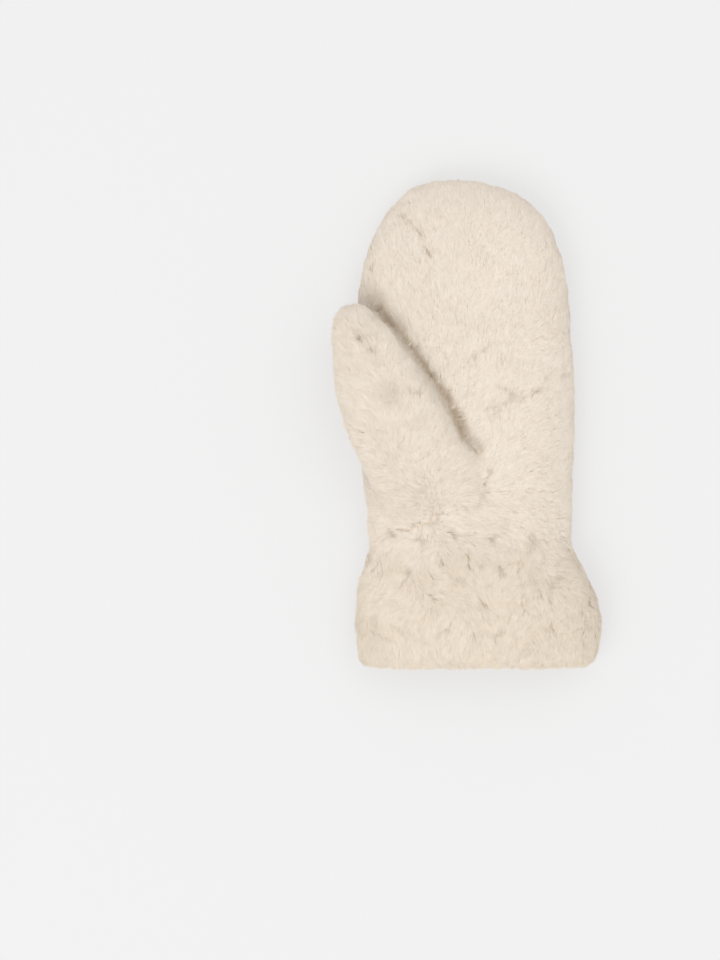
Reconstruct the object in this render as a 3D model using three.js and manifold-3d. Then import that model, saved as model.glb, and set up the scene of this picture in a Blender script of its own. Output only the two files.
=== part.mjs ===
// A left-hand fur mitten that lies on its back with the palm up and the thumb folded across the palm.
// Millimetres. +Y runs along the hand to the fingertips, +Z up, and the thumb is on the -X side.
// The origin is the middle of the mitten's box, on the surface that it lies on.
// Every wall is fur cloth: the woven backing is its inner face, and its outer face is the form of the pile.
import * as THREE from "three";
import { mergeVertices } from "three/addons/utils/BufferGeometryUtils.js";
import Module from "manifold-3d";

const wasm = await Module();
wasm.setup();

// Overall sizes of the hand and the cuff.
const TIP_Y = 139.5;
const WRIST_Y = -62;
const RIM_Y = -139;
const SEAM_Z = 17;
const OVAL_POWER = 2.5;

// Thickness of the fur cloth, and the gap that sewn pieces keep.
const HAND_WALL = 8;
const CUFF_WALL = 9.5;
const THUMB_WALL = 6;
const GAP = 0.3;

// Where the rounding of the fingertips starts, seen from above and from the side.
const NOSE = { start: 60, power: 2.3 };
const NOSE_SIDE = { start: 92, power: 2.2 };

// The outer form from the rim of the cuff to the fingertips: the middle and half width of each
// section, its height over the side seam, and its depth under the seam before the floor flattens it.
const FORM = [
  { y: -134, centre: 6.6, half: 67.2, crown: 23.5, sole: 18.4 },
  { y: -122, centre: 7.0, half: 69.0, crown: 26.0, sole: 18.4 },
  { y: -108, centre: 7.0, half: 69.4, crown: 27.0, sole: 18.4 },
  { y: -94, centre: 5.6, half: 66.6, crown: 25.8, sole: 18.3 },
  { y: -80, centre: 3.8, half: 61.4, crown: 22.6, sole: 18.2 },
  { y: -68, centre: 2.8, half: 57.6, crown: 19.6, sole: 18.0 },
  { y: -56, centre: 2.5, half: 56.6, crown: 19.4, sole: 18.0 },
  { y: -35, centre: 1.2, half: 58.2, crown: 21.4, sole: 18.2 },
  { y: 0, centre: 0.3, half: 60.3, crown: 23.0, sole: 18.2 },
  { y: 45, centre: -0.8, half: 60.0, crown: 22.6, sole: 18.2 },
  { y: 75, centre: -1.4, half: 58.7, crown: 21.4, sole: 18.2 },
  { y: 110, centre: -1.2, half: 58.2, crown: 20.0, sole: 18.0 },
  { y: 126, centre: -1.8, half: 58.0, crown: 19.4, sole: 18.0 },
  { y: 140, centre: -7.0, half: 58.0, crown: 19.0, sole: 18.0 },
];

// Folds and dents of the palm side: a soft groove from one point to another.
const FOLDS = [
  { fold: "crease under the fingertips", x1: -33, y1: 119, x2: -21, y2: 97, reach: 5, depth: 1.6 },
  { fold: "heel crease, inner arm", x1: 14, y1: 12, x2: 33, y2: 17, reach: 5.5, depth: 2.0 },
  { fold: "heel crease, upper arm", x1: 20, y1: 21, x2: 33, y2: 17, reach: 4.5, depth: 1.4 },
  { fold: "heel crease, outer arm", x1: 33, y1: 17, x2: 50, y2: 27, reach: 5, depth: 1.4 },
  { fold: "crease below the thumb", x1: 9, y1: -14, x2: 6, y2: -44, reach: 5, depth: 2.2 },
  { fold: "wrist gather, thumb side", x1: -44, y1: -66, x2: -8, y2: -62, reach: 5, depth: 1.6 },
  { fold: "wrist gather, outer side", x1: -4, y1: -63, x2: 46, y2: -66, reach: 5.5, depth: 1.8 },
  { fold: "edge of the rolled rim", x1: -50, y1: -122, x2: 62, y2: -124, reach: 5, depth: 1.5 },
];

// The thumb: its end and its direction seen from above. Its sections are set along it from that end,
// and each is tilted, in degrees, with its left edge up.
const THUMB_END = { x: -71.5, y: 67 };
const THUMB_HEADING = THREE.MathUtils.degToRad(-63.4);
const THUMB_ROUND = { length: 13, power: 2.2 };
const THUMB_FORM = [
  { along: 0, shift: 5.2, half: 12.5, deep: 10.5, z: 41.5, tilt: 7 },
  { along: 10, shift: 3.4, half: 14.0, deep: 11.8, z: 43.5, tilt: 7 },
  { along: 25, shift: 1.8, half: 19.2, deep: 13.0, z: 46.0, tilt: 7 },
  { along: 53, shift: 0.0, half: 26.8, deep: 14.0, z: 47.0, tilt: 6 },
  { along: 74, shift: 0.0, half: 29.4, deep: 14.2, z: 44.0, tilt: 5 },
  { along: 96, shift: 0.5, half: 30.5, deep: 14.2, z: 37.5, tilt: 2 },
  { along: 122, shift: 0.5, half: 29.5, deep: 13.6, z: 28.5, tilt: -4 },
  { along: 141, shift: -1.0, half: 26.0, deep: 12.5, z: 18.5, tilt: -8 },
];

// Where the sections of the hand and the thumb begin, past the places where they are cut off.
const HAND_FROM = -92;
const THUMB_TO = 141;

// How finely the sections are drawn: how many along each form, and how many points around each.
const HAND_FINE = { stations: 38, around: 46 };
const POCKET_FINE = { stations: 18, around: 28 };
const THUMB_FINE = { stations: 24, around: 28 };
const THUMB_POCKET_FINE = { stations: 14, around: 20 };
const CUFF_FINE = { stations: 12, around: 48 };
const LIP_STEPS = 5;
const TIP_CROWDING = 1.6;

// A function that gives the values of a table's columns at any place between its rows.
function columnsOf(rows, along) {
  const names = Object.keys(rows[0]).filter((name) => name !== along);
  const line = new THREE.CubicInterpolant(
    rows.map((row) => row[along]),
    rows.flatMap((row) => names.map((name) => row[name])),
    names.length,
  );
  return (place) => {
    const values = [...line.evaluate(place)];
    return Object.fromEntries(names.map((name, i) => [name, values[i]]));
  };
}

const formAt = columnsOf(FORM, "y");
const thumbAt = columnsOf(THUMB_FORM, "along");

function signedPower(value, power) {
  return Math.sign(value) * Math.abs(value) ** power;
}

// Falls from 1 where the rounding starts to 0 at the end.
function roundedEnd(share, power) {
  const t = THREE.MathUtils.clamp(share, 0, 1);
  return (1 - t ** power) ** (1 / power);
}

// How far the folds press the palm side down at a point.
function foldDepth(x, y) {
  const point = new THREE.Vector3(x, y, 0);
  const nearest = new THREE.Vector3();
  let depth = 0;
  for (const fold of FOLDS) {
    const line = new THREE.Line3(
      new THREE.Vector3(fold.x1, fold.y1, 0),
      new THREE.Vector3(fold.x2, fold.y2, 0),
    );
    line.closestPointToPoint(point, true, nearest);
    const away = nearest.distanceTo(point) / fold.reach;
    depth = Math.max(depth, fold.depth * Math.exp(-away * away));
  }
  return depth;
}

// One oval section of the hand or the cuff, grown by some millimetres on every side.
function formRing(y, grow, around, tip = TIP_Y) {
  const row = formAt(y);
  const wide = roundedEnd((y - NOSE.start) / (tip - NOSE.start), NOSE.power);
  const high = roundedEnd((y - NOSE_SIDE.start) / (tip - NOSE_SIDE.start), NOSE_SIDE.power);
  const ring = [];
  for (let i = 0; i < around; i++) {
    const angle = (2 * Math.PI * i) / around;
    const across = signedPower(Math.cos(angle), 2 / OVAL_POWER);
    const up = signedPower(Math.sin(angle), 2 / OVAL_POWER);
    const x = row.centre + (row.half + grow) * wide * across;
    const rise = ((up > 0 ? row.crown : row.sole) + grow) * high * up;
    const pressed = up > 0 ? foldDepth(x, y) * up : 0;
    ring.push(new THREE.Vector3(x, y, SEAM_Z + rise - pressed));
  }
  return ring;
}

// One section of the thumb, square to its heading, grown by some millimetres on every side.
function thumbRing(along, grow, around) {
  const row = thumbAt(along);
  const end = roundedEnd(
    (THUMB_ROUND.length - along - grow) / THUMB_ROUND.length,
    THUMB_ROUND.power,
  );
  const heading = new THREE.Vector3(Math.cos(THUMB_HEADING), Math.sin(THUMB_HEADING), 0);
  const side = new THREE.Vector3(-heading.y, heading.x, 0);
  const lift = new THREE.Vector3(0, 0, 1);
  const tilt = THREE.MathUtils.degToRad(row.tilt);
  side.applyAxisAngle(heading, -tilt);
  lift.applyAxisAngle(heading, -tilt);
  const middle = new THREE.Vector3(THUMB_END.x, THUMB_END.y, row.z)
    .addScaledVector(heading, along)
    .addScaledVector(side, row.shift);
  const ring = [];
  for (let i = 0; i < around; i++) {
    const angle = (2 * Math.PI * i) / around;
    const across = (row.half + grow) * end * signedPower(Math.cos(angle), 2 / OVAL_POWER);
    const up = (row.deep + grow) * end * signedPower(Math.sin(angle), 2 / OVAL_POWER);
    ring.push(middle.clone().addScaledVector(side, across).addScaledVector(lift, up));
  }
  return ring;
}

// A closed mesh through rings of points. Its ends are closed by a fan, or the last ring meets the first.
function loft(rings, endToEnd = false) {
  const around = rings[0].length;
  const points = rings.flat();
  const faces = [];
  const last = endToEnd ? rings.length : rings.length - 1;
  for (let r = 0; r < last; r++) {
    const here = r * around;
    const there = ((r + 1) % rings.length) * around;
    for (let i = 0; i < around; i++) {
      const j = (i + 1) % around;
      faces.push(here + i, here + j, there + i, there + i, here + j, there + j);
    }
  }
  if (!endToEnd) {
    for (const [ring, turned] of [[0, true], [rings.length - 1, false]]) {
      const middle = new THREE.Vector3();
      rings[ring].forEach((point) => middle.addScaledVector(point, 1 / around));
      points.push(middle);
      for (let i = 0; i < around; i++) {
        const a = ring * around + i;
        const b = ring * around + ((i + 1) % around);
        faces.push(points.length - 1, turned ? b : a, turned ? a : b);
      }
    }
  }
  const geometry = new THREE.BufferGeometry().setFromPoints(points);
  geometry.setIndex(faces);
  return geometry;
}

// A three.js geometry as a manifold solid, facing out whichever way its rings ran.
function solidOf(geometry) {
  const bare = geometry.clone();
  bare.deleteAttribute("normal");
  bare.deleteAttribute("uv");
  const merged = mergeVertices(bare, 1e-4);
  const made = (triVerts) =>
    new wasm.Manifold(
      new wasm.Mesh({
        numProp: 3,
        vertProperties: new Float32Array(merged.attributes.position.array),
        triVerts,
      }),
    );
  const faces = new Uint32Array(merged.index.array);
  const solid = made(faces);
  return solid.volume() > 0 ? solid : made(faces.toReversed());
}

function meshOf(name, solid, color) {
  const data = solid.getMesh();
  const geometry = new THREE.BufferGeometry();
  geometry.setAttribute("position", new THREE.BufferAttribute(data.vertProperties, 3));
  geometry.setIndex(new THREE.BufferAttribute(data.triVerts, 1));
  geometry.computeVertexNormals();
  const fur = new THREE.MeshStandardMaterial({ color, roughness: 0.95, metalness: 0 });
  const mesh = new THREE.Mesh(geometry, fur);
  mesh.name = name;
  return mesh;
}

// The outer form of the hand, or its hollow, with its sections crowded towards the fingertips.
function handForm(grow, fine) {
  const tip = TIP_Y + Math.min(grow, 0);
  const rings = [];
  for (let i = 0; i < fine.stations; i++) {
    const share = 1 - (1 - i / fine.stations) ** TIP_CROWDING;
    rings.push(formRing(HAND_FROM + (tip - HAND_FROM) * share, grow, fine.around, tip));
  }
  return solidOf(loft(rings));
}

function thumbForm(grow, fine) {
  const rings = [];
  for (let i = 1; i <= fine.stations; i++) {
    const share = (i / fine.stations) ** TIP_CROWDING;
    rings.push(thumbRing(-grow + (THUMB_TO + grow) * share, grow, fine.around));
  }
  return solidOf(loft(rings));
}

// The cuff is a sleeve whose rim is rolled: the fur goes round the edge and back inside.
function cuffForm(fine) {
  const start = WRIST_Y - GAP;
  const roll = CUFF_WALL / 2;
  const rollY = RIM_Y + roll;
  const rings = [];
  for (let i = 0; i <= fine.stations; i++) {
    rings.push(formRing(start + (rollY - start) * (i / fine.stations), 0, fine.around));
  }
  for (let i = 1; i < LIP_STEPS; i++) {
    const turn = (Math.PI * i) / LIP_STEPS;
    rings.push(formRing(rollY - roll * Math.sin(turn), roll * (Math.cos(turn) - 1), fine.around));
  }
  for (let i = fine.stations; i >= 0; i -= 2) {
    const y = start + (rollY - start) * (i / fine.stations);
    rings.push(formRing(y, -CUFF_WALL, fine.around));
  }
  return solidOf(loft(rings, true));
}

const hand = handForm(0, HAND_FINE);
const handWithGap = handForm(GAP, HAND_FINE);
const pocket = handForm(-HAND_WALL, POCKET_FINE);
const thumb = thumbForm(0, THUMB_FINE);
const thumbPocket = thumbForm(-THUMB_WALL, THUMB_POCKET_FINE);

// The hand is cut off at the wrist and flattened on the floor, then parted at the side seam.
const shell = hand
  .subtract(pocket)
  .subtract(thumbPocket)
  .trimByPlane([0, 1, 0], WRIST_Y)
  .trimByPlane([0, 0, 1], 0);
const backPanel = shell.trimByPlane([0, 0, -1], GAP / 2 - SEAM_Z);
const palmPanel = shell.trimByPlane([0, 0, 1], SEAM_Z + GAP / 2);
const thumbStall = thumb
  .subtract(thumbPocket)
  .subtract(handWithGap)
  .trimByPlane([0, 1, 0], WRIST_Y);
const cuffBand = cuffForm(CUFF_FINE).trimByPlane([0, 0, 1], 0);

const mitten = new THREE.Group();
mitten.add(
  meshOf("back_panel", backPanel, 0xeadfd0),
  meshOf("palm_panel", palmPanel, 0xebe0d1),
  meshOf("thumb_stall", thumbStall, 0xece1d2),
  meshOf("cuff_band", cuffBand, 0xe9dccb),
);

// The origin goes to the middle of the box, at the floor.
const box = new THREE.Box3().setFromObject(mitten);
const middle = box.getCenter(new THREE.Vector3());
mitten.position.set(-middle.x, -middle.y, -box.min.z);

export default mitten;
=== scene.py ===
# %% [markdown]
# # A plush fur mitten
#
# The object is a left-hand mitten of cream faux fur. It lies on its back with the palm up, and its thumb
# is folded slantwise over the palm. This lesson dresses a plain frame of four solids (back, palm, thumb
# and cuff) with what makes the real thing look soft: a rounded skin over all four, and a pile of combed
# hair on that skin.
#
# Everything is in metres, with the fingertips towards +Y, the palm towards +Z and the thumb on the -X
# side.

# %% Load the frame
import math

import bpy
import numpy as np
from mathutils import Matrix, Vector
from mathutils.bvhtree import BVHTree
from mathutils.kdtree import KDTree


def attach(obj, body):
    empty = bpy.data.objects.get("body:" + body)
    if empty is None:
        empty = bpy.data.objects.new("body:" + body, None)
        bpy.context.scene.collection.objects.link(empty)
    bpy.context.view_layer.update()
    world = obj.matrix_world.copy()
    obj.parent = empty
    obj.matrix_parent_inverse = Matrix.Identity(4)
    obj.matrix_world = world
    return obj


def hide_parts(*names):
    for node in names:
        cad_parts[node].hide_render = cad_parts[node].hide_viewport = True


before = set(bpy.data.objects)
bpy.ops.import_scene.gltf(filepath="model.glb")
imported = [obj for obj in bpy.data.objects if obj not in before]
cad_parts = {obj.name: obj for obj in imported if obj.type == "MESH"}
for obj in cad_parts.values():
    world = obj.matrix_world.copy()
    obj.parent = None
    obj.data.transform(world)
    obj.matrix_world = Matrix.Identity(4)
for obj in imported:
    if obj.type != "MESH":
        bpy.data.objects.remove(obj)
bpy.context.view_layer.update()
MM = 0.001

# %% [markdown]
# ## The camera
#
# The mitten is seen from straight above, so the camera looks down the Z axis with the fingertips at the
# top of the picture. The picture's height covers a known length at the level of the mitten's side seam, and
# a camera well above it keeps the sides of the cuff from leaning outwards, as a long lens does.

# %% Place the camera
VIEW_CENTRE = Vector((-60.6, -32.6, 18.0)) * MM
VIEW_HEIGHT = 549 * MM
CAMERA_RISE = 1.6

camera_data = bpy.data.cameras.new("overhead_camera")
camera_data.lens = camera_data.sensor_width * CAMERA_RISE / VIEW_HEIGHT
camera = bpy.data.objects.new("overhead_camera", camera_data)
camera.location = VIEW_CENTRE + Vector((0, 0, CAMERA_RISE))
bpy.context.scene.collection.objects.link(camera)
bpy.context.scene.camera = camera
print("lens in mm:", round(camera_data.lens, 1))

# %% [markdown]
# ## Small helpers
#
# Blender's operators work on whatever is selected, and loading the frame leaves its nodes selected. So one
# helper selects exactly the pieces that the next operator is for, and another adds, sets and applies a
# modifier.


# %% Selecting and finishing
def select_only(*pieces):
    bpy.ops.object.select_all(action="DESELECT")
    for piece in pieces:
        piece.select_set(True)
    bpy.context.view_layer.objects.active = pieces[0]


def apply_modifier(piece, kind, **settings):
    select_only(piece)
    bpy.ops.object.modifier_add(type=kind)
    modifier = piece.modifiers[-1]
    for setting, value in settings.items():
        setattr(modifier, setting, value)
    bpy.ops.object.modifier_apply(modifier=modifier.name)


def coordinates(mesh):
    values = np.zeros(len(mesh.vertices) * 3)
    mesh.vertices.foreach_get("co", values)
    return values.reshape(-1, 3)


TINY = 1e-12


def unit(vectors):
    return vectors / np.maximum(np.linalg.norm(vectors, axis=-1, keepdims=True), TINY)


# %% [markdown]
# Nothing on fur is regular, but it isn't noise either: neighbours lean alike. A few long sine waves in
# random directions, added up, give an unevenness that is smooth, cheap, and the same at every run.


# %% Smooth unevenness
WAVES = 7
PITCH_RANGE = (0.7, 1.5)


def ripples(points, size, seed):
    """Values spread by 1 around 0, whose hills and dips are about as wide as size."""
    rng = np.random.default_rng(seed)
    total = np.zeros(len(points))
    for _ in range(WAVES):
        direction = unit(rng.normal(size=3))
        pitch = size * rng.uniform(*PITCH_RANGE)
        phase = rng.uniform(0, math.tau)
        total += np.sin(points @ direction * math.tau / pitch + phase)
    return total * (2 / WAVES) ** 0.5


# %% [markdown]
# ## The sewn mitten
#
# The real mitten is four panels of fur cloth, thick and springy, sewn together. On plush the seams
# disappear, because the pile of both panels closes over them. So its form starts as one pelt that runs
# over the seams without a break: copies of all four solids, joined and remeshed to even squares, which
# closes the hairline gaps between them.
#
# A table says, for each panel, which core line runs through its hollow, and in millimetres how far the
# skin lies below the pile's surface, how deep the crease beside the thumb is pressed in, and how much
# fuller its side is.

# %% Join and remesh the panels
PELT_VOXEL = 3.5 * MM
PELT_SMOOTHING = 5
SEAM_DOUBLES = 0.02 * MM
PANELS = [
    {"panel": "palm", "node": "palm_panel", "core": "hand", "depth": 1.6, "crease": 0.3, "fullness": 2.0},
    {"panel": "back", "node": "back_panel", "core": "hand", "depth": 1.6, "crease": 0.0, "fullness": 2.0},
    {"panel": "thumb", "node": "thumb_stall", "core": "thumb", "depth": 2.0, "crease": 5.8, "fullness": 0.0},
    {"panel": "cuff", "node": "cuff_band", "core": "hand", "depth": 2.0, "crease": 0.0, "fullness": 0.0},
]
PANEL_NAMES = [row["panel"] for row in PANELS]

copies = []
for row in PANELS:
    copies.append(bpy.data.objects.new("pelt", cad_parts[row["node"]].data.copy()))
    copies[-1].data.materials.clear()
    bpy.context.scene.collection.objects.link(copies[-1])
pelt = copies[0]
select_only(*copies)
bpy.ops.object.join()
bpy.ops.object.mode_set(mode="EDIT")
bpy.ops.mesh.select_all(action="SELECT")
bpy.ops.mesh.remove_doubles(threshold=SEAM_DOUBLES)
bpy.ops.object.mode_set(mode="OBJECT")
apply_modifier(pelt, "REMESH", mode="VOXEL", voxel_size=PELT_VOXEL)
apply_modifier(pelt, "SMOOTH", factor=0.5, iterations=PELT_SMOOTHING)
print("pelt:", len(pelt.data.vertices), "points")

# %% [markdown]
# Blender's Cloth then blows the pelt up a little from inside, as the springy pile does to sewn panels.
# That rounds the walls and softens the creases. How far a point may move is capped, so that it stays the
# mitten's size.

# %% Puff it up as sewn cloth
CLOTH_FRAMES = 20
CLOTH_PRESSURE = 4.0
PUFF_CAP = 1.4 * MM


def puffed(piece):
    """Where the points of a piece settle as cloth under a light pressure, no further off than the cap."""
    before = coordinates(piece.data)
    select_only(piece)
    bpy.ops.object.modifier_add(type="CLOTH")
    cloth = piece.modifiers[-1]
    cloth.settings.use_pressure = True
    cloth.settings.uniform_pressure_force = CLOTH_PRESSURE
    cloth.settings.effector_weights.gravity = 0
    for number in range(1, CLOTH_FRAMES + 1):
        bpy.context.scene.frame_set(number)
    settled = piece.evaluated_get(bpy.context.evaluated_depsgraph_get())
    move = coordinates(settled.data) - before
    length = np.linalg.norm(move, axis=1, keepdims=True)
    move *= np.tanh(length / PUFF_CAP) * PUFF_CAP / np.maximum(length, TINY)
    bpy.ops.object.modifier_remove(modifier=cloth.name)
    bpy.context.scene.frame_set(1)
    print("puffed by up to", round(float(np.linalg.norm(move, axis=1).max()) / MM, 2), "mm")
    return before + move


def reshape(piece, points):
    piece.data.vertices.foreach_set("co", points.ravel())
    piece.data.update()


reshape(pelt, puffed(pelt))

# %% [markdown]
# Next the pelt is drawn in by most of the depth of the pile, because the hair comes on top. Only its
# outside moves, and least along the edges, where the hair lies flattest. The core line of a panel runs
# through the middle of its hollow: a face that looks away from that line is on the outside of the mitten,
# and one that looks towards it is on the inside.

# %% Which way is outside
CORES = {
    "hand": np.array([(3, -200, 17), (1, 0, 17), (-3, 85, 17)]) * MM,
    "thumb": np.array([(-60, 44, 46), (-38, 1, 44), (-24, -28, 33), (-10, -56, 16)]) * MM,
}


def offsets_from_line(points, line):
    """Vectors to each point from the nearest place on a line of straight parts."""
    best = np.full(len(points), np.inf)
    offsets = np.zeros_like(points)
    for start, end in zip(line[:-1], line[1:]):
        span = end - start
        along = np.clip((points - start) @ span / (span @ span), 0, 1)
        offset = points - (start + along[:, None] * span)
        distance = np.linalg.norm(offset, axis=1)
        nearer = distance < best
        best[nearer] = distance[nearer]
        offsets[nearer] = offset[nearer]
    return offsets


def closeness(points, line, reach):
    """1 on a line, fading to nothing over about twice the reach."""
    distance = np.linalg.norm(offsets_from_line(points, line), axis=1)
    return np.exp(-((distance / reach) ** 2))


def away_from_cores(points, panels):
    """Unit vectors to each point from the core line of its own panel."""
    choices = [unit(offsets_from_line(points, CORES[row["core"]])) for row in PANELS]
    return np.choose(panels[:, None], choices)


# %% Whose is each point
def nearest_panel(points):
    """For each point, the number of the panel whose solid is nearest."""
    trees = []
    for row in PANELS:
        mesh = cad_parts[row["node"]].data
        mesh.calc_loop_triangles()
        triangles = [tuple(triangle.vertices) for triangle in mesh.loop_triangles]
        trees.append(BVHTree.FromPolygons([vertex.co[:] for vertex in mesh.vertices], triangles))
    return np.array([np.argmin([tree.find_nearest(point)[3] for tree in trees]) for point in points])


# %% [markdown]
# The remeshed pelt has small steps in its creases. Whatever follows its normals, the drawing in and the
# hair, would show them as a row of tufts, so each normal is evened out with its neighbours'.

# %% Even normals
NORMAL_SMOOTHING = 4


def even_normals(mesh):
    """The normal at each point of a mesh, evened out with the points that it shares an edge with."""
    normals = np.array([vertex.normal[:] for vertex in mesh.vertices])
    ends = np.zeros(len(mesh.edges) * 2, dtype=np.int64)
    mesh.edges.foreach_get("vertices", ends)
    one_end, other_end = ends.reshape(-1, 2).T
    for _ in range(NORMAL_SMOOTHING):
        total = normals.copy()
        np.add.at(total, one_end, normals[other_end])
        np.add.at(total, other_end, normals[one_end])
        normals = unit(total)
    return normals


# %% [markdown]
# Beside the thumb the cloth is pressed into a narrow crease, whose line is charted from the thumb's tip to
# its root. The two side edges of the hand are fuller by two millimetres. A few ends are a little blunter
# than the frame's: what lies beyond a line is brought nearer to it. Nothing goes below the table, and at
# the end the pelt is smoothed once more, which takes the last steps out of the crease.

# %% Draw the outside in
DRAWN_IN_SMOOTHING = 4
FLOOR_CLEARANCE = 0.25 * MM
OUTSIDE_SHARPNESS = 2
DENT_SIZE = 34 * MM
DENT_DEPTH = 0.35 * MM
CREASE_CHART = [
    (-52, 67),
    (-42, 56),
    (-35, 45),
    (-27, 34),
    (-20, 24),
    (-13, 13),
    (-7, 1),
    (-2, -8),
    (6, -17),
]
THUMB_CREASE = np.array(CREASE_CHART) * MM
CREASE_REACH = 6 * MM
X, Y = 0, 1
BLUNTER = [
    {"panel": "thumb", "axis": Y, "beyond": 56, "share": 0.68},
    {"panel": "thumb", "axis": X, "beyond": -45, "share": 0.96},
    {"panel": "palm", "axis": Y, "beyond": 110, "share": 0.98},
    {"panel": "back", "axis": Y, "beyond": 110, "share": 0.98},
]


def by_panel(panels, column):
    """The value that each point's panel has in a column of the table, in metres."""
    return np.choose(panels, [row[column] * MM for row in PANELS])


points = coordinates(pelt.data)
normals = even_normals(pelt.data)
panels = nearest_panel(points)
outwardness = (normals * away_from_cores(points, panels)).sum(axis=1)
outside = np.clip(outwardness * OUTSIDE_SHARPNESS, 0, 1)
dents = DENT_DEPTH * ripples(points, DENT_SIZE, seed=3)
depth = np.abs(normals[:, 2]) * (by_panel(panels, "depth") + dents)
depth += closeness(points[:, :2], THUMB_CREASE, CREASE_REACH) * by_panel(panels, "crease")
depth -= np.abs(normals[:, 0]) ** 2 * by_panel(panels, "fullness")
points -= normals * (outside * depth)[:, None]
for row in BLUNTER:
    here = panels == PANEL_NAMES.index(row["panel"])
    line = row["beyond"] * MM
    beyond = (points[:, row["axis"]] - line) * here
    beyond[beyond * line < 0] = 0
    points[:, row["axis"]] -= beyond * (1 - row["share"])
points[:, 2] = np.maximum(points[:, 2], FLOOR_CLEARANCE)
reshape(pelt, points)
apply_modifier(pelt, "SMOOTH", factor=0.5, iterations=DRAWN_IN_SMOOTHING)
print("drawn in by up to", round(float((outside * depth).max()) / MM, 1), "mm")

# %% [markdown]
# The hand and the cuff are two pieces, because the cuff is cut from a longer, warmer fur. The pelt is cut
# in two along the wrist seam, in edit mode with Bisect, which also closes the two cut walls. Each wall's
# end comes out as one ring-shaped face, so it is split into triangles before anything subdivides it.

# %% Cut it into the hand's skin and the cuff's
WRIST_SEAM_Y = -62.15 * MM


def half_of_the_pelt(name, fingers):
    """A piece of its own: the pelt's half towards the fingers, or else its half towards the rim."""
    piece = bpy.data.objects.new(name, pelt.data.copy())
    bpy.context.scene.collection.objects.link(piece)
    select_only(piece)
    bpy.ops.object.mode_set(mode="EDIT")
    bpy.ops.mesh.select_all(action="SELECT")
    bpy.ops.mesh.bisect(
        plane_co=(0, WRIST_SEAM_Y, 0),
        plane_no=(0, 1, 0),
        use_fill=True,
        clear_inner=fingers,
        clear_outer=not fingers,
    )
    bpy.ops.mesh.quads_convert_to_tris()
    bpy.ops.object.mode_set(mode="OBJECT")
    bpy.ops.object.shade_smooth()
    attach(piece, "root")
    return piece


hand_skin = half_of_the_pelt("hand_skin", fingers=True)
cuff_skin = half_of_the_pelt("cuff_skin", fingers=False)
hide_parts("palm_panel", "back_panel", "thumb_stall")
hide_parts("cuff_band")
apply_modifier(cuff_skin, "SUBSURF", levels=1, render_levels=1)
for skin in (hand_skin, cuff_skin):
    print(skin.name, "has", len(skin.data.polygons), "faces")

# %% [markdown]
# ## The pile
#
# Faux fur is tens of thousands of fine hairs. Each one here is a ribbon of two triangles, one from the
# root to a bend and one from the bend to a point. It rises steeply from the cloth and then lies over, and
# what makes it fur and not grass is how its neighbours agree: they are combed the same way, gather in
# small locks, and part along creases.
#
# The combing is charted in a table. Each row says which way the hair lies at a place on the mitten, seen from
# above: 0 is to the right, 90 towards the fingertips, 180 to the thumb's side and -90 towards the rim.

# %% Which way the pile is combed
PALM_AND_CUFF_COMBING = [
    {"x": -30, "y": 126, "heading": 112},
    {"x": 0, "y": 130, "heading": 92},
    {"x": 32, "y": 118, "heading": 62},
    {"x": -48, "y": 95, "heading": 118},
    {"x": 0, "y": 90, "heading": 88},
    {"x": 48, "y": 80, "heading": 58},
    {"x": -30, "y": 60, "heading": 96},
    {"x": 10, "y": 45, "heading": 82},
    {"x": 52, "y": 35, "heading": 50},
    {"x": 10, "y": 5, "heading": 62},
    {"x": 45, "y": 0, "heading": 34},
    {"x": 20, "y": -25, "heading": 36},
    {"x": 50, "y": -35, "heading": 8},
    {"x": 20, "y": -48, "heading": 8},
    {"x": 52, "y": -60, "heading": -22},
    {"x": -56, "y": -45, "heading": 190},
    {"x": -12, "y": -54, "heading": 15},
    {"x": -10, "y": -66, "heading": -35},
    {"x": -38, "y": -62, "heading": 205},
    {"x": 20, "y": -66, "heading": -40},
    {"x": -52, "y": -70, "heading": 220},
    {"x": -30, "y": -70, "heading": 225},
    {"x": 8, "y": -70, "heading": 310},
    {"x": -20, "y": -80, "heading": 255},
    {"x": 12, "y": -82, "heading": 288},
    {"x": 58, "y": -78, "heading": 325},
    {"x": -58, "y": -98, "heading": 225},
    {"x": -20, "y": -98, "heading": 262},
    {"x": 25, "y": -95, "heading": 290},
    {"x": 70, "y": -98, "heading": 318},
    {"x": -50, "y": -128, "heading": 240},
    {"x": 0, "y": -130, "heading": 270},
    {"x": 60, "y": -128, "heading": 300},
]
BACK_COMBING = [
    {"x": 0, "y": 130, "heading": 90},
    {"x": -50, "y": 80, "heading": 120},
    {"x": 50, "y": 80, "heading": 60},
    {"x": 0, "y": 40, "heading": 90},
    {"x": -50, "y": 0, "heading": 125},
    {"x": 50, "y": 0, "heading": 55},
    {"x": 0, "y": -50, "heading": 90},
]
THUMB_COMBING = [
    {"x": -70, "y": 66, "heading": 130},
    {"x": -58, "y": 62, "heading": 75},
    {"x": -76, "y": 48, "heading": 165},
    {"x": -62, "y": 45, "heading": 135},
    {"x": -46, "y": 44, "heading": 48},
    {"x": -72, "y": 20, "heading": 188},
    {"x": -54, "y": 18, "heading": 150},
    {"x": -40, "y": 16, "heading": 80},
    {"x": -26, "y": 22, "heading": 42},
    {"x": -62, "y": -10, "heading": 195},
    {"x": -42, "y": -10, "heading": 125},
    {"x": -26, "y": -10, "heading": 75},
    {"x": -12, "y": -2, "heading": 38},
    {"x": -52, "y": -32, "heading": 200},
    {"x": -32, "y": -34, "heading": 130},
    {"x": -12, "y": -34, "heading": 50},
    {"x": 4, "y": -25, "heading": 30},
    {"x": -48, "y": -54, "heading": 205},
    {"x": -27, "y": -56, "heading": 170},
    {"x": -6, "y": -54, "heading": 5},
]
NEAR_ENOUGH = 5 * MM
NEARNESS_POWER = 3


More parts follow.
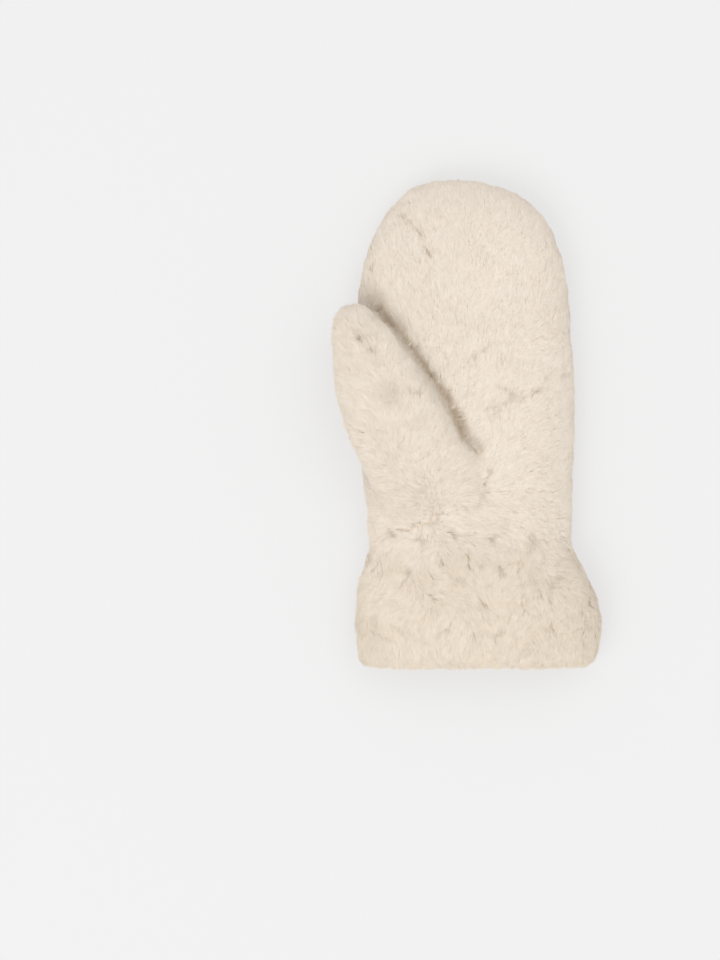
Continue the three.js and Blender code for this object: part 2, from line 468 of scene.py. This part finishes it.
def combed(points, chart):
    """Horizontal unit vectors of the combing: the charted headings, the nearest counting most."""
    places = np.array([(row["x"], row["y"]) for row in chart]) * MM
    angles = np.radians([row["heading"] for row in chart])
    away = np.linalg.norm(points[:, None, :2] - places[None], axis=2)
    weights = 1 / (away + NEAR_ENOUGH) ** NEARNESS_POWER
    mixed = weights @ np.stack([np.cos(angles), np.sin(angles), np.zeros(len(chart))], axis=1)
    return unit(mixed)


for chart in (PALM_AND_CUFF_COMBING, BACK_COMBING, THUMB_COMBING):
    print("combing charted at", len(chart), "places")

# %% [markdown]
# Where the cloth is creased or gathered, the hair stands apart and shows a darker line between its two
# sides. These are charted as well. Around each, the hair is shorter and combed away from the middle, and
# later its colour is darkened with painted shade.

# %% Where the pile parts
PARTINGS = [
    {"parting": "knuckle crease, end", "from": (-38, 118), "to": (-33, 117), "reach": 1.6, "bare": 0.35},
    {"parting": "knuckle crease, upper", "from": (-33, 117), "to": (-28, 110), "reach": 1.6, "bare": 0.40},
    {"parting": "knuckle crease, lower", "from": (-28, 110), "to": (-21, 95), "reach": 1.4, "bare": 0.34},
    {"parting": "dot in the palm", "from": (-4, 94), "to": (-3.6, 93.6), "reach": 1.3, "bare": 0.5},
    {"parting": "short stroke 1", "from": (3, 37), "to": (6, 42), "reach": 1.2, "bare": 0.4},
    {"parting": "short stroke 2", "from": (9, 41), "to": (12, 44), "reach": 1.2, "bare": 0.35},
    {"parting": "short stroke 3", "from": (54, 25), "to": (56, 28), "reach": 1.2, "bare": 0.4},
    {"parting": "heel crease, inner arm", "from": (17, 21), "to": (31, 14), "reach": 1.5, "bare": 0.45},
    {"parting": "heel crease, outer arm", "from": (31, 14), "to": (41, 19), "reach": 1.5, "bare": 0.5},
    {"parting": "heel crease, lower line", "from": (12, 8), "to": (28, 12), "reach": 1.5, "bare": 0.42},
    {"parting": "seam under the thumb", "from": (15, -24), "to": (7, -46), "reach": 1.8, "bare": 0.5},
    {"parting": "tuft on the thumb, upper", "from": (-66, 51), "to": (-58, 46), "reach": 2.4, "bare": 0.32},
    {"parting": "tuft on the thumb, lower", "from": (-58, 48), "to": (-51, 39), "reach": 2.6, "bare": 0.36},
    {"parting": "stroke on the thumb", "from": (-33, 17.7), "to": (-26, 17.2), "reach": 1.3, "bare": 0.35},
    {"parting": "gather 1", "from": (-46, -63), "to": (-41, -66), "reach": 2.4, "bare": 0.45},
    {"parting": "gather 2", "from": (-27, -67), "to": (-24, -71), "reach": 2.4, "bare": 0.42},
    {"parting": "gather 3", "from": (-8, -64), "to": (-5, -68), "reach": 2.2, "bare": 0.55},
    {"parting": "gather 4", "from": (14, -70), "to": (18, -67), "reach": 2.4, "bare": 0.7},
    {"parting": "gather 5", "from": (37, -65), "to": (41, -69), "reach": 2.2, "bare": 0.6},
    {"parting": "pit 1", "from": (-38, -84), "to": (-35, -87), "reach": 1.8, "bare": 0.65},
    {"parting": "pit 2", "from": (-9, -92), "to": (-5, -90), "reach": 2.0, "bare": 0.7},
    {"parting": "pit 3", "from": (22, -83), "to": (24, -87), "reach": 1.9, "bare": 0.65},
    {"parting": "pit 4", "from": (48, -94), "to": (52, -92), "reach": 2.0, "bare": 0.6},
    {"parting": "pit 5", "from": (6, -104), "to": (10, -106), "reach": 1.8, "bare": 0.55},
    {"parting": "rim crease 1", "from": (-40, -118), "to": (-35, -120), "reach": 1.8, "bare": 0.5},
    {"parting": "rim crease 2", "from": (-14, -120), "to": (-9, -118), "reach": 1.8, "bare": 0.55},
    {"parting": "rim crease 3", "from": (16, -121), "to": (22, -119), "reach": 1.8, "bare": 0.5},
    {"parting": "rim crease 4", "from": (47, -117), "to": (53, -119), "reach": 1.8, "bare": 0.5},
]
PARTING_RAGGEDNESS = 0.5
RAGGED_SIZE = 5 * MM


def parted(points):
    """For each point, how bare the nearest parting leaves it, and the horizontal way out of that parting."""
    bare = np.zeros(len(points))
    way_out = np.zeros_like(points)
    ragged = 1 + PARTING_RAGGEDNESS * ripples(points, RAGGED_SIZE, seed=21)
    for row in PARTINGS:
        line = np.array([row["from"], row["to"]]) * MM
        here = np.clip(row["bare"] * ragged, 0, 1) * closeness(points[:, :2], line, row["reach"] * MM)
        more = here > bare
        bare[more] = here[more]
        way_out[more, :2] = unit(offsets_from_line(points[more, :2], line))
    return bare, way_out


print("the pile parts at", len(PARTINGS), "places")

# %% [markdown]
# A pale pile looks browner down in its depths, because the light that comes back from there has met more
# hair. That shade is painted into the colour beside the thumb and in the partings, and the same colour
# makes two faint browner spots on the thumb. Each place here is a straight stretch with its height above the
# table. A difference in height counts for less than one seen from above.

# %% Where painted shade goes, and two browner spots
# Painted shade: the crease under and beside the thumb is darkened to a brown. The last two rows are faint
# browner spots on the thumb.
SHADE_AND_SPOT_PLACES = [
    {"place": "under the tip", "from": (-56, 73, 34), "to": (-38, 49, 38), "reach": 4.5, "deep": 0.45},
    {"place": "beside the thumb", "from": (-52, 67, 35), "to": (-13, 13, 40), "reach": 2.4, "deep": 0.80},
    {"place": "beside its root", "from": (-13, 13, 40), "to": (-2, -8, 40), "reach": 2.4, "deep": 0.80},
    {"place": "end of the crease", "from": (-2, -8, 40), "to": (6, -17, 39), "reach": 2.2, "deep": 0.60},
    {"place": "warm spot", "from": (-42, 13, 58), "to": (-43, 11, 58), "reach": 5.5, "deep": 0.20},
    {"place": "smaller warm spot", "from": (-31, -2, 52), "to": (-30, -4, 52), "reach": 4.0, "deep": 0.14},
]
# Partings are darkened by painted shade, more where they leave the hair barer.
PARTING_SHADE = 0.65
SEEN_FROM_ABOVE = np.array([1, 1, 0.6])


def deepness(points, bare):
    """How much painted shade and spot colour each point gets, from 0 to 1."""
    found = bare * PARTING_SHADE
    flattened = points * SEEN_FROM_ABOVE
    for row in SHADE_AND_SPOT_PLACES:
        line = np.array([row["from"], row["to"]]) * MM * SEEN_FROM_ABOVE
        found = np.maximum(found, row["deep"] * closeness(flattened, line, row["reach"] * MM))
    return found


# %% [markdown]
# The roots are spread over the outside of the pelt by area, and over the inside of the rim, where the
# cuff's fur cloth is turned in. The underside, which the mitten lies on, gets fewer. Each face of the pelt
# belongs to the panel of its first corner, and its hair to that panel's pile.

# %% Share the pelt out
OUTSIDE = 0.05

pelt.data.calc_loop_triangles()
pelt_points = coordinates(pelt.data)
pelt_normals = even_normals(pelt.data)
corners = np.zeros(len(pelt.data.loop_triangles) * 3, dtype=np.int64)
pelt.data.loop_triangles.foreach_get("vertices", corners)
corners = corners.reshape(-1, 3)
a, b, c = (pelt_points[corners[:, number]] for number in range(3))
middles = (a + b + c) / 3
crosses = np.cross(b - a, c - a)
areas = np.linalg.norm(crosses, axis=1) / 2
facing = unit(crosses)
panel_of = panels[corners[:, 0]]
outward = (facing * away_from_cores(middles, panel_of)).sum(axis=1)
bpy.data.objects.remove(pelt)
print("pelt:", len(corners), "triangles,", int((outward > OUTSIDE).sum()), "of them outside")

# %% [markdown]
# There are six piles, so that none is too heavy. A pile covers its panel within two bands, along the hand
# and in height. Its hairs have a length, a width and a lift off the cloth. Swirl and tufts say by how many
# degrees they stray from the combing, lock how many hairs gather in one, and pull how closely they do.

# %% Sizes of the piles
PILES = [
    {"pile": "palm_pile_fingers", "panel": "palm", "chart": PALM_AND_CUFF_COMBING,
     "y": (40, 200), "z": (-10, 80), "hairs": 76000, "length": 7.0, "width": 0.32,
     "lift": 19, "swirl": 11, "lock": 5, "pull": 0.12, "tufts": 1},
    {"pile": "palm_pile_heel", "panel": "palm", "chart": PALM_AND_CUFF_COMBING,
     "y": (-80, 40), "z": (-10, 80), "hairs": 66000, "length": 7.4, "width": 0.31,
     "lift": 21, "swirl": 15, "lock": 6, "pull": 0.18, "tufts": 3},
    {"pile": "back_pile", "panel": "back", "chart": BACK_COMBING,
     "y": (-80, 200), "z": (-10, 80), "hairs": 90000, "length": 7.2, "width": 0.38,
     "lift": 22, "swirl": 14, "lock": 8, "pull": 0.25, "tufts": 5},
    {"pile": "thumb_pile", "panel": "thumb", "chart": THUMB_COMBING,
     "y": (-80, 100), "z": (-10, 80), "hairs": 80000, "length": 8.4, "width": 0.30,
     "lift": 25, "swirl": 16, "lock": 9, "pull": 0.22, "tufts": 5},
    {"pile": "cuff_pile_upper", "panel": "cuff", "chart": PALM_AND_CUFF_COMBING,
     "y": (-150, -50), "z": (20, 80), "hairs": 96000, "length": 8.6, "width": 0.30,
     "lift": 27, "swirl": 24, "lock": 18, "pull": 0.32, "tufts": 14},
    {"pile": "cuff_pile_lower", "panel": "cuff", "chart": PALM_AND_CUFF_COMBING,
     "y": (-150, -50), "z": (-10, 20), "hairs": 54000, "length": 8.0, "width": 0.36,
     "lift": 24, "swirl": 20, "lock": 14, "pull": 0.35, "tufts": 12},
]
print("hairs in all:", sum(row["hairs"] for row in PILES))

# %% Spread the roots
RIM_FUR_Y = -127 * MM
UNDERSIDE_FACING = -0.3
UNDERSIDE_SHARE = 0.45


def spread_roots(row, rng):
    """Random places on the outside of the pelt, with its smooth normal at each."""
    panel = PANEL_NAMES.index(row["panel"])
    covered = (outward > OUTSIDE) | (middles[:, 1] < RIM_FUR_Y)
    bands = np.array([row["y"], row["z"]]) * MM
    in_bands = ((middles[:, 1:] >= bands[:, 0]) & (middles[:, 1:] < bands[:, 1])).all(axis=1)
    area = areas * covered * in_bands * (panel_of == panel)
    weight = area * np.where(facing[:, 2] < UNDERSIDE_FACING, UNDERSIDE_SHARE, 1.0)
    picked = corners[rng.choice(len(corners), size=row["hairs"], p=weight / weight.sum())]
    u, v = rng.random((2, row["hairs"]))
    over = u + v > 1
    u[over], v[over] = 1 - u[over], 1 - v[over]
    mix = np.stack([1 - u - v, u, v], axis=1)[:, :, None]
    print(row["pile"], "covers", round(float(area.sum()) * 1e6), "square mm with", row["hairs"], "hairs")
    return (pelt_points[picked] * mix).sum(axis=1), unit((pelt_normals[picked] * mix).sum(axis=1))


# %% [markdown]
# Hairs gather in locks. Some roots are named the middle of a lock, and every hair joins the nearest. It
# keeps a little of its own way, but its point is drawn towards the point of its lock, which gives the fine
# streaks that combed plush has. Larger tufts of a few hundred hairs each lie their own way as well, most
# of all on the cuff.

# %% Gather the hairs in locks
def gathered(roots, hairs_in_one, rng):
    """For each root, the number of the root that its lock gathers round."""
    lock_middles = rng.choice(len(roots), size=len(roots) // hairs_in_one, replace=False)
    tree = KDTree(len(lock_middles))
    for number in lock_middles:
        tree.insert(roots[number], int(number))
    tree.balance()
    return np.array([tree.find(root)[1] for root in roots])


# %% Which way every hair lies
PARTING_LEAD = 0.6
PARTING_SPREAD = 2.5
DOWN_THE_SIDE = 0.5
ROUND_THE_RIM = 1.5
RIM_TURN = 3


def turned(directions, axes, angles):
    """Directions turned about axes square to them, by angles in degrees."""
    radians = np.radians(angles)[:, None]
    return directions * np.cos(radians) + np.cross(axes, directions) * np.sin(radians)


def charted_lie(roots, normals, row):
    """How the charts lay each hair, square to its normal, and how bare a parting leaves it."""
    flow = combed(roots, row["chart"])
    bare, way_out = parted(roots + flow * row["length"] * MM * PARTING_LEAD)
    flow += way_out * (bare ** 2 * PARTING_SPREAD)[:, None]
    if row["panel"] == "cuff":
        away = unit(offsets_from_line(roots, CORES["hand"]))
        out = (normals * away).sum(axis=1, keepdims=True)
        turned_in = away * (1 - np.abs(out)) * ROUND_THE_RIM
        flow = flow * np.clip(out * RIM_TURN + 1, -1, 1) - turned_in
    flow[:, 2] -= DOWN_THE_SIDE * (1 - np.abs(normals[:, 2]))
    return unit(flow - normals * (flow * normals).sum(axis=1)[:, None]), bare


# %% [markdown]
# A hair's lift is its slant as a whole. It leaves the cloth at one and a half times that angle, and past the
# bend it lies at a fifth of it. The fringe is the thumb's hair along the crease: it is trimmed and raised, so
# that the crease stays open. At the rim the hair is calmer, which keeps the outline of the cuff even.

# %% Bend every hair
BEND_AT = 0.42
STEEP = 1.5
STEEP_RANGE = (8, 80)
SHALLOW = 0.2
SHALLOW_RANGE = (0, 60)
HEADING_SPREAD = 8
LOCK_HEADING_SPREAD = 6
LOCK_POINT_SPREAD = 0.5
SWIRL_SIZE = 30 * MM
FINE_SWIRL_SIZE = 9 * MM
FINE_SWIRL_SHARE = 0.4
HAIRS_IN_A_TUFT = 260
TUFT_LIFT_SPREAD = 4
CALM_RIM_Y = -128 * MM
CALM_RIM_BLEND = 9 * MM
CALM_RIM_LEAST = 0.25
FRINGE_LIFT = 10
FRINGE_SHALLOW = 0.35
FRINGE_TRIM = 0.62
SIDE_TRIM = 0.35
PARTING_TRIM = 0.45
LENGTH_RANGE = (0.75, 1.1)
LENGTH_WAVE = 0.06
LENGTH_WAVE_SIZE = 7 * MM
LIFT_SPREAD = 0.14
LIFT_WAVE = 2
LIFT_WAVE_SIZE = 12 * MM


def bent_hairs(roots, normals, fringe, row, rng):
    """Each hair's bend and point, its sideways direction, its lock, and how much painted shade and spot
    colour it gets.
    """
    count = len(roots)
    sideways = 1 - np.abs(normals[:, 2])
    lie, bare = charted_lie(roots, normals, row)
    lock = gathered(roots, row["lock"], rng)
    tuft = gathered(roots, HAIRS_IN_A_TUFT, rng)
    calm = np.clip((roots[:, 1] - CALM_RIM_Y) / CALM_RIM_BLEND, CALM_RIM_LEAST, 1)
    swirl = ripples(roots, SWIRL_SIZE, seed=11) + FINE_SWIRL_SHARE * ripples(roots, FINE_SWIRL_SIZE, seed=12)
    group_turn = rng.normal(0, LOCK_HEADING_SPREAD, count)[lock]
    group_turn += rng.normal(0, row["tufts"], count)[tuft] * (1 - fringe)
    own_turn = rng.normal(0, HEADING_SPREAD, count)
    lie = turned(lie, normals, calm * (row["swirl"] * swirl + group_turn) + own_turn)
    side = np.cross(normals, lie)

    trimmed = (1 - PARTING_TRIM * bare) * (1 - SIDE_TRIM * sideways) * (1 - FRINGE_TRIM * fringe)
    waved = 1 + LENGTH_WAVE * ripples(roots, LENGTH_WAVE_SIZE, seed=14)
    length = row["length"] * MM * trimmed * rng.uniform(*LENGTH_RANGE, count) * waved
    lift = row["lift"] * rng.normal(1, LIFT_SPREAD, count)
    lift += LIFT_WAVE * ripples(roots, LIFT_WAVE_SIZE, seed=15)
    lift += rng.normal(0, TUFT_LIFT_SPREAD, count)[tuft] * (1 - fringe) + FRINGE_LIFT * fringe
    steep = turned(lie, -side, np.clip(lift * STEEP, *STEEP_RANGE))
    shallow = turned(lie, -side, np.clip(lift * (SHALLOW + FRINGE_SHALLOW * fringe), *SHALLOW_RANGE))
    bend = roots + steep * (length * BEND_AT)[:, None]
    point = bend + shallow * (length * (1 - BEND_AT))[:, None]
    lock_point = point[lock] + (roots - roots[lock]) * LOCK_POINT_SPREAD
    point += (lock_point - point) * (row["pull"] * (1 - fringe))[:, None]
    # Painted shade of the crease and partings, with the thumb's spots, taken at the root and along the hair.
    deep = np.maximum(deepness(roots, bare), deepness((bend + point) / 2, bare))
    return bend, point, side, lock, deep


# %% [markdown]
# A pile is one mesh. All its hairs are worked out at once as arrays, because making tens of thousands of
# separate objects would take far too long. Each ribbon carries its own shade in a colour attribute: red
# runs from root to point, which gives the painted shade towards the roots, green is the hair's own tone,
# and blue is the tone of its lock. Two more attributes say how much painted shade and spot colour it gets,
# and how warm its colour is. The UV map gives every hair its own small square, with the root at the bottom
# and the point at the top.
#
# A flat ribbon would catch the light like a blade of grass. Real hairs are round and let light through, so
# a pile is shaded mostly as the surface that it makes together. That's what the custom normals do: each is
# the skin's own normal, mixed with a little of the ribbon's, and on steep sides with straight up, because
# a pile passes light on round an edge.

# %% Weave the hairs into one mesh
HAIR_IN_ITS_SQUARE = np.array([(0.5, 0.1), (0.9, 0.45), (0.1, 0.45), (0.5, 0.9)])
ROOT_TO_POINT = np.array([0, 0.5, 0.5, 1])


def ribbons(roots, bend, point, side, width):
    """The four points of each hair: its root, the two sides of its bend, and its point."""
    half = side * (width / 2)[:, None]
    return np.stack([roots, bend + half, bend - half, point], axis=1)


def pile_mesh(name, points, face, tones, lock_tones, readings):
    """One mesh of all the hairs of a pile, with its normals, shades, other readings and UV map."""
    count = len(points)
    first = (np.arange(count) * 4)[:, None]
    faces = np.concatenate([first + np.array([0, 2, 1]), first + np.array([1, 2, 3])], axis=1)
    mesh = bpy.data.meshes.new(name)
    mesh.vertices.add(count * 4)
    mesh.vertices.foreach_set("co", points.ravel())
    mesh.loops.add(count * 6)
    mesh.loops.foreach_set("vertex_index", faces.ravel())
    mesh.polygons.add(count * 2)
    mesh.polygons.foreach_set("loop_start", np.arange(count * 2) * 3)
    mesh.polygons.foreach_set("use_smooth", np.ones(count * 2, dtype=bool))
    mesh.update(calc_edges=True)
    mesh.normals_split_custom_set_from_vertices(np.repeat(face, 4, axis=0).tolist())
    shades = np.ones((count, 4, 4), dtype=np.float32)
    shades[:, :, 0] = ROOT_TO_POINT
    shades[:, :, 1] = tones[:, None]
    shades[:, :, 2] = lock_tones[:, None]
    layer = mesh.color_attributes.new("hair_shade", "FLOAT_COLOR", "POINT")
    layer.data.foreach_set("color", shades.ravel())
    for title, values in readings.items():
        layer = mesh.attributes.new(title, "FLOAT", "POINT")
        layer.data.foreach_set("value", np.repeat(values, 4).astype(np.float32))
    squares = math.ceil(count ** 0.5)
    corner = np.stack([np.arange(count) % squares, np.arange(count) // squares], axis=1)[:, None]
    places = (corner + HAIR_IN_ITS_SQUARE) / squares
    layer = mesh.uv_layers.new(name="OFBake")
    layer.data.foreach_set("uv", places.reshape(-1, 2)[faces.ravel()].astype(np.float32).ravel())
    return mesh


# %% Grow the six piles
FIRST_SEED = 100
OWN_NORMAL_SHARE = 0.16
FRINGE_REACH = 5.5 * MM
FRINGE_OWN_SHARE = 0.6
SKY_SHARE = 1.2
ROLL_SPREAD = 16
WIDTH_RANGE = (0.75, 1.25)
BEND_FLOOR_RANGE = (0.4, 3.0)
POINT_FLOOR_SHARE = 0.6
ROOT_SUNK = 0.3 * MM
PALE_TONES = 0.5
WARMER_Y = -74 * MM
WARMER_BLEND = 24 * MM
WARM_PATCHES = 0.3
WARM_PATCH_SIZE = 18 * MM

piles = {}
for number, row in enumerate(PILES):
    rng = np.random.default_rng(FIRST_SEED + number)
    roots, normals = spread_roots(row, rng)
    fringe = closeness(roots[:, :2], THUMB_CREASE, FRINGE_REACH) * (row["panel"] == "thumb")
    bend, point, side, lock, deep = bent_hairs(roots, normals, fringe, row, rng)
    lowest = FLOOR_CLEARANCE * rng.uniform(*BEND_FLOOR_RANGE, len(roots))
    bend[:, 2] = np.maximum(bend[:, 2], lowest)
    point[:, 2] = np.maximum(point[:, 2], lowest * POINT_FLOOR_SHARE)
    along = unit(point - roots)
    side = turned(side, along, rng.normal(0, ROLL_SPREAD, len(roots)))
    own = (OWN_NORMAL_SHARE + FRINGE_OWN_SHARE * fringe)[:, None]
    face = normals * (1 - own) + np.cross(along, side) * own
    face[:, 2] += SKY_SHARE * (1 - np.abs(normals[:, 2]))
    width = row["width"] * MM * rng.uniform(*WIDTH_RANGE, len(roots))
    tones = rng.random(len(roots)) ** PALE_TONES
    lock_tones = rng.random(len(roots))[lock]
    patches = WARM_PATCHES * ripples(roots, WARM_PATCH_SIZE, seed=16)
    warmth = np.clip(0.5 + (WARMER_Y - roots[:, 1]) / WARMER_BLEND + patches, 0, 1)
    roots = roots - normals * ROOT_SUNK
    roots[:, 2] = np.maximum(roots[:, 2], 0)
    points = ribbons(roots, bend, point, side, width)
    # Painted shade of the crease and partings with the thumb's spots, and the warmth of the fur's colour.
    readings = {"deepness": deep, "warmth": warmth}
    mesh = pile_mesh(row["pile"], points, unit(face), tones, lock_tones, readings)
    pile = bpy.data.objects.new(row["pile"], mesh)
    bpy.context.scene.collection.objects.link(pile)
    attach(pile, "root")
    piles[row["pile"]] = pile
    print(row["pile"], "has", len(mesh.polygons), "triangles")

# %% [markdown]
# ## Finishes
#
# Cream plush looks warm and darker in its depths and pale at its points, because light that goes far into a
# pale fur comes back a little yellower each time it is scattered. The hair's material paints that shade with
# the colour attribute, as a darker, warmer colour towards the roots, and adds broad soft patches of a browner
# cream on the piece's own coordinates. Towards the rim the fur is warmer, and the change is spread over the
# wrist, so that no line shows at the seam. Last it mixes in the painted shade of the crease and partings,
# with the thumb's two browner spots.
# All the finishes here are matt, so one helper makes such a material. The others join nodes: a socket is
# either fed by another node or set to a value.


# %% Helpers for finishes
def matt_material(name, roughness, specular):
    """A new material and its shader."""
    material = bpy.data.materials.new(name)
    material.use_nodes = True
    shader = material.node_tree.nodes["Principled BSDF"]
    shader.inputs["Roughness"].default_value = roughness
    shader.inputs["Specular IOR Level"].default_value = specular
    return material, shader


def feed(material, socket, value):
    """Link a socket to another node's output, or set it to a number or a colour."""
    if isinstance(value, bpy.types.NodeSocket):
        material.node_tree.links.new(value, socket)
    else:
        socket.default_value = value


def reading(material, attribute, output="Fac"):
    """What an attribute of the mesh says at each place."""
    node = material.node_tree.nodes.new("ShaderNodeAttribute")
    node.attribute_name = attribute
    return node.outputs[output]


def ranged(material, value, limits):
    """A value brought to another range."""
    node = material.node_tree.nodes.new("ShaderNodeMapRange")
    feed(material, node.inputs["Value"], value)
    for title, limit in limits.items():
        node.inputs[title].default_value = limit
    return node.outputs["Result"]


def mixed(material, amount, first, second, blend="MIX"):
    """Two colours mixed, or multiplied, by an amount."""
    node = material.node_tree.nodes.new("ShaderNodeMix")
    node.data_type = "RGBA"
    node.blend_type = blend
    feed(material, node.inputs["Factor"], amount)
    feed(material, node.inputs["A"], first)
    feed(material, node.inputs["B"], second)
    return node.outputs["Result"]


# %% [markdown]
# A hair is as bright on its underside as on top, because light shines through it. A Translucent shader on
# the back of the ribbons does that: it shows the light that falls on their front.

# %% The hair's material
# The darker, warmer root colour is painted shade of the pile's depths; the tip colour is the fur's cream.
SHADED_ROOT_COLOUR = (0.74, 0.661, 0.560, 1)
TIP_COLOUR = (0.86, 0.788, 0.70, 1)
TIP_STARTS = 0.75
PATCH_COLOUR = (0.81, 0.732, 0.638, 1)
WARM_TINT = (0.975, 0.96, 0.93, 1)
# Brown of painted shade for the crease and partings, used too for the thumb's two spots.
SHADE_AND_SPOT_COLOUR = (0.42, 0.325, 0.225, 1)
SHEEN_TINT = (1, 0.95, 0.88, 1)
DARKEST_HAIR = 0.88
DARKEST_LOCK = 0.94


def plush(name):
    material, shader = matt_material(name, roughness=0.82, specular=0.25)
    shader.inputs["Sheen Weight"].default_value = 0.4
    shader.inputs["Sheen Roughness"].default_value = 0.4
    shader.inputs["Sheen Tint"].default_value = SHEEN_TINT
    nodes = material.node_tree.nodes
    parts = nodes.new("ShaderNodeSeparateColor")
    feed(material, parts.inputs["Color"], reading(material, "hair_shade", "Color"))
    along = nodes.new("ShaderNodeValToRGB")
    along.color_ramp.elements[0].color = SHADED_ROOT_COLOUR
    along.color_ramp.elements[1].color = TIP_COLOUR
    along.color_ramp.elements[1].position = TIP_STARTS
    feed(material, along.inputs["Fac"], parts.outputs["Red"])
    patches = nodes.new("ShaderNodeTexNoise")
    patches.inputs["Scale"].default_value = 42
    patches.inputs["Detail"].default_value = 3
    feed(material, patches.inputs["Vector"], nodes.new("ShaderNodeTexCoord").outputs["Object"])
    patched = ranged(material, patches.outputs["Fac"], {"From Min": 0.45, "From Max": 0.75, "To Max": 0.45})
    tone = nodes.new("ShaderNodeMath")
    tone.operation = "MULTIPLY"
    feed(material, tone.inputs[0], ranged(material, parts.outputs["Green"], {"To Min": DARKEST_HAIR}))
    feed(material, tone.inputs[1], ranged(material, parts.outputs["Blue"], {"To Min": DARKEST_LOCK}))
    colour = mixed(material, patched, along.outputs["Color"], PATCH_COLOUR)
    colour = mixed(material, 1, colour, tone.outputs["Value"], "MULTIPLY")
    colour = mixed(material, reading(material, "warmth"), colour, WARM_TINT, "MULTIPLY")
    # Painted shade of the crease and partings, and the thumb's spots, mixed over the colour.
    colour = mixed(material, reading(material, "deepness"), colour, SHADE_AND_SPOT_COLOUR)
    feed(material, shader.inputs["Base Color"], colour)
    underside = nodes.new("ShaderNodeBsdfTranslucent")
    feed(material, underside.inputs["Color"], colour)
    both_sides = nodes.new("ShaderNodeMixShader")
    feed(material, both_sides.inputs[0], nodes.new("ShaderNodeNewGeometry").outputs["Backfacing"])
    feed(material, both_sides.inputs[1], shader.outputs["BSDF"])
    feed(material, both_sides.inputs[2], underside.outputs["BSDF"])
    feed(material, nodes["Material Output"].inputs["Surface"], both_sides.outputs["Shader"])
    return material


palm_plush = plush("palm_plush")
cuff_plush = plush("cuff_plush")
for name, pile in piles.items():
    on_cuff = name.startswith("cuff")
    pile.data.materials.append(cuff_plush if on_cuff else palm_plush)
print("plush on", len(piles), "piles")

# %% [markdown]
# The skins show only between hairs, and inside the mouth of the cuff. Inside, the cloth is the pile's
# backing, a fine warp knit, so its bump is rows of small loops. At the bottom of the crease it gets the
# hair's painted shade, made stronger, and the thumb's spots too.


# %% The skin's material
SKIN_SHADE_GAIN = 1.6
KNIT_COLOUR = (0.86, 0.75, 0.62)
GROOVE_SHADE = 0.85


def backing(name, colour):
    material, shader = matt_material(name, roughness=0.9, specular=0.2)
    nodes = material.node_tree.nodes
    wales = nodes.new("ShaderNodeTexWave")
    wales.bands_direction = "X"
    wales.inputs["Scale"].default_value = 260
    wales.inputs["Distortion"].default_value = 1.5
    feed(material, wales.inputs["Vector"], nodes.new("ShaderNodeTexCoord").outputs["Object"])
    tint = nodes.new("ShaderNodeValToRGB")
    tint.color_ramp.elements[0].color = (*[part * GROOVE_SHADE for part in colour], 1)
    tint.color_ramp.elements[1].color = (*colour, 1)
    feed(material, tint.inputs["Fac"], wales.outputs["Color"])
    # Painted shade at the bottom of the crease, as on the hair, and the thumb's spots.
    shown = mixed(material, reading(material, "deepness"), tint.outputs["Color"], SHADE_AND_SPOT_COLOUR)
    feed(material, shader.inputs["Base Color"], shown)
    bump = nodes.new("ShaderNodeBump")
    bump.inputs["Strength"].default_value = 0.4
    bump.inputs["Distance"].default_value = 0.4 * MM
    feed(material, bump.inputs["Height"], wales.outputs["Fac"])
    feed(material, shader.inputs["Normal"], bump.outputs["Normal"])
    return material


knit = backing("knit_backing", KNIT_COLOUR)
# Each skin gets the hair's painted shade of the crease and the thumb's spots, made stronger.
for skin, slot in ((hand_skin, "plush_fur"), (cuff_skin, "cuff_fur")):
    deep = np.clip(SKIN_SHADE_GAIN * deepness(coordinates(skin.data), 0), 0, 1)
    layer = skin.data.attributes.new("deepness", "FLOAT", "POINT")
    layer.data.foreach_set("value", deep.astype(np.float32))
    skin.data.materials.append(knit)
    print(skin.name, "is deepest at", round(float(deep.max()), 2))

# %% [markdown]
# ## The table and the light
#
# The mitten lies on a plain pale table in a bright room, so most of its light comes from all round. The
# table is a mid grey that glows a little, which keeps it evenly pale and its shadows faint. Two large soft
# lamps add shape: one stands beyond the rim on the thumb's side, and the other is overhead.

# %% Floor
TABLE_SIZE = 8
TABLE_COLOUR = (0.30, 0.30, 0.30, 1)
TABLE_GLOW = 0.538
WHITE = (1, 1, 1, 1)

bpy.ops.object.select_all(action="DESELECT")
bpy.ops.mesh.primitive_plane_add(size=TABLE_SIZE, location=(0, 0, 0))
floor = bpy.context.object
floor.name = "floor"
paper, shader = matt_material("pale_table", roughness=1.0, specular=0.0)
shader.inputs["Base Color"].default_value = TABLE_COLOUR
shader.inputs["Emission Color"].default_value = WHITE
shader.inputs["Emission Strength"].default_value = TABLE_GLOW
floor.data.materials.append(paper)

# %% Lights
LIGHTS = [
    {"light": "key_softbox", "at": (-0.7, -0.85, 1.9), "size": 1.2, "watts": 14.4},
    {"light": "overhead_softbox", "at": (0.4, 0.5, 2.3), "size": 2.0, "watts": 14.4},
]
ROOM_BRIGHTNESS = 0.72

for row in LIGHTS:
    lamp = bpy.data.lights.new(row["light"], "AREA")
    lamp.size = row["size"]
    lamp.energy = row["watts"]
    holder = bpy.data.objects.new(row["light"], lamp)
    holder.location = row["at"]
    holder.rotation_euler = (-Vector(row["at"])).to_track_quat("-Z", "Y").to_euler()
    bpy.context.scene.collection.objects.link(holder)

room = bpy.data.worlds.new("pale_room")
room.use_nodes = True
room.node_tree.nodes["Background"].inputs["Color"].default_value = WHITE
room.node_tree.nodes["Background"].inputs["Strength"].default_value = ROOM_BRIGHTNESS
bpy.context.scene.world = room
bpy.context.scene.view_settings.view_transform = "Standard"
print(len(LIGHTS), "lamps in a room of brightness", ROOM_BRIGHTNESS)
